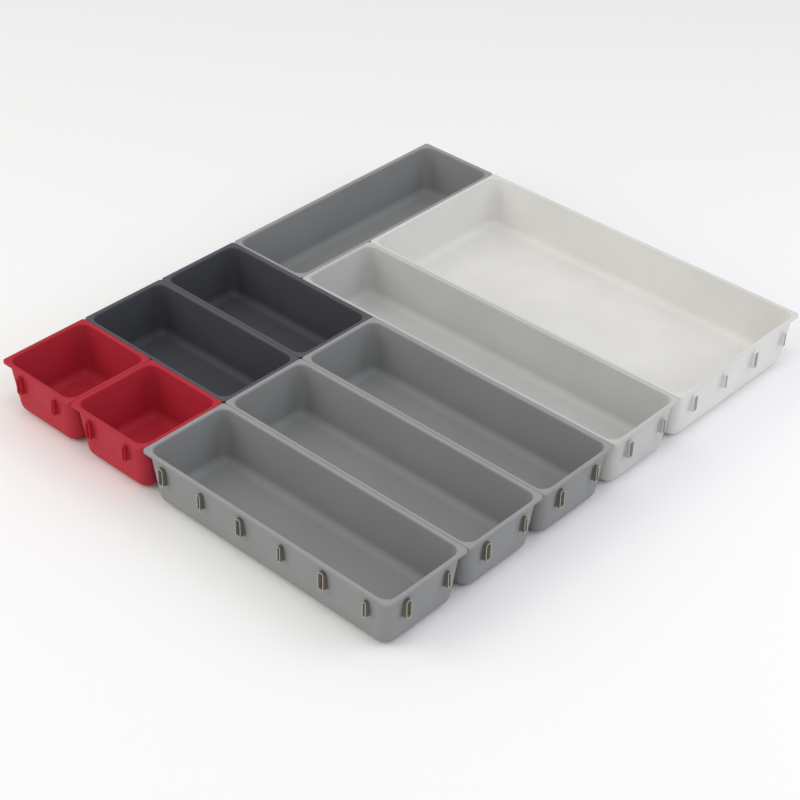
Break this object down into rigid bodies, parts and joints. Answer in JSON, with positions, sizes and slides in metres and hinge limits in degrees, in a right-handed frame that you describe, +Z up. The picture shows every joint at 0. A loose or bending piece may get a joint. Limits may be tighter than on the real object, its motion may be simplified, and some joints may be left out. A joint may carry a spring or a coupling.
{
  "type": "drawer organizer insert",
  "caption": "Open-top rectangular bins of several sizes and colours, joined side by side by plugs and sockets to fill a drawer and sort small things.",
  "frame": {"origin": "on the supporting surface, under the middle of the whole insert", "axes": "+Z up, out of the bins' mouths; +Y along the long side, from the red bins to the white bin; +X along the short side, from the red bins towards the grey ones"},
  "size_m": [0.3836, 0.4598, 0.044],
  "materials": {
    "red": "satin moulded",
    "charcoal": "satin moulded",
    "grey": "satin moulded",
    "light_grey": "satin moulded",
    "white": "satin moulded"
  },
  "bodies": {
    "back_block": {"grey_bin_side": "grey", "light_grey_bin": "light_grey", "white_bin": "white"},
    "rear_row": {"charcoal_bin_rear": "charcoal", "grey_bin_rear": "grey"},
    "middle_row": {"charcoal_bin_front": "charcoal", "grey_bin_middle": "grey"},
    "front_row": {"red_bin_left": "red", "red_bin_right": "red", "grey_bin_front": "grey"}
  },
  "joints": [
    {"name": "rear_row_slide", "type": "slide", "parent": "back_block", "child": "rear_row", "axis": [0, -1, 0], "range_m": [0, 0.05]},
    {"name": "middle_row_slide", "type": "slide", "parent": "rear_row", "child": "middle_row", "axis": [0, -1, 0], "range_m": [0, 0.05]},
    {"name": "front_row_slide", "type": "slide", "parent": "middle_row", "child": "front_row", "axis": [0, -1, 0], "range_m": [0, 0.05]}
  ]
}
